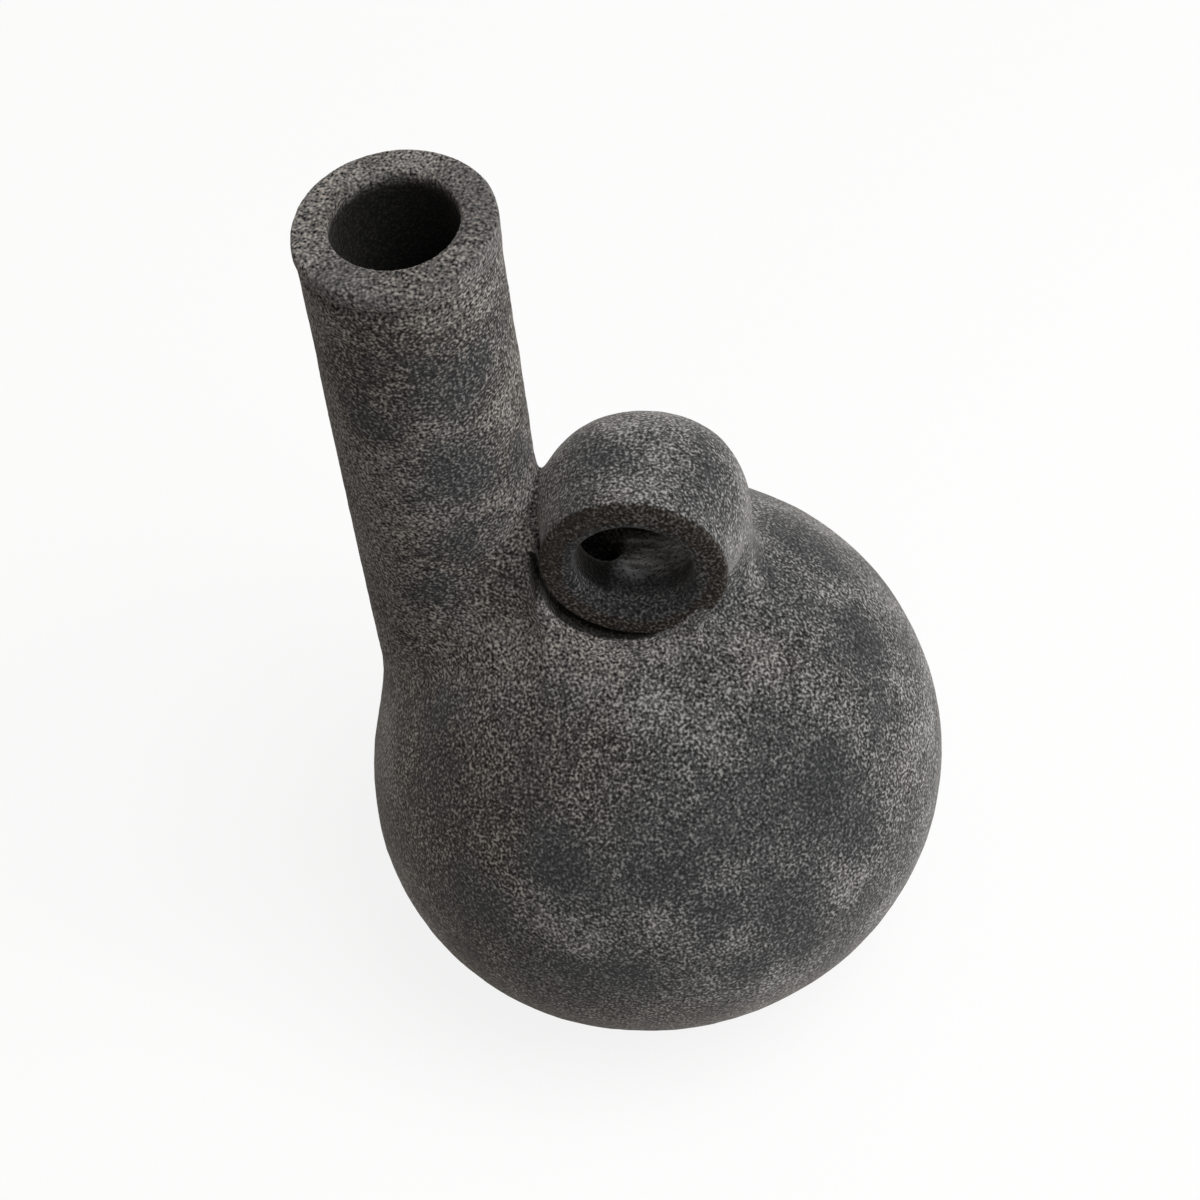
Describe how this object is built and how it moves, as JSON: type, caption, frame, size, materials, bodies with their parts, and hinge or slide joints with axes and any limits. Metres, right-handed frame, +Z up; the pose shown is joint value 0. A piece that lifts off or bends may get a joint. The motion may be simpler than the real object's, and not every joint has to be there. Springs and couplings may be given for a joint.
{
  "type": "ceramic vase",
  "caption": "Hollow round stoneware vase with a tall open neck at one side and a short elbow spout on top, for dry stems or display.",
  "frame": {"origin": "middle of the flat underside", "axes": "+Z up, -Y the way the spout faces, -X towards the neck"},
  "size_m": [0.17, 0.17, 0.2765],
  "materials": {
    "base_clay": "bare matte stoneware, ground flat",
    "body_clay": "bare matte stoneware, sandy charcoal with lighter dusting",
    "neck_clay": "bare matte stoneware, sandy charcoal",
    "spout_clay": "bare matte stoneware, sandy charcoal",
    "rim_clay": "bare matte stoneware, rubbed round"
  },
  "bodies": {
    "root": {"base_slab": "base_clay", "lower_bowl": "body_clay", "upper_dome": "body_clay", "neck_tube": "neck_clay", "neck_lip": "rim_clay", "neck_front_coil": "body_clay", "neck_back_coil": "body_clay", "spout_riser": "spout_clay", "spout_outlet": "spout_clay", "mouth_lip": "rim_clay"}
  },
  "joints": []
}
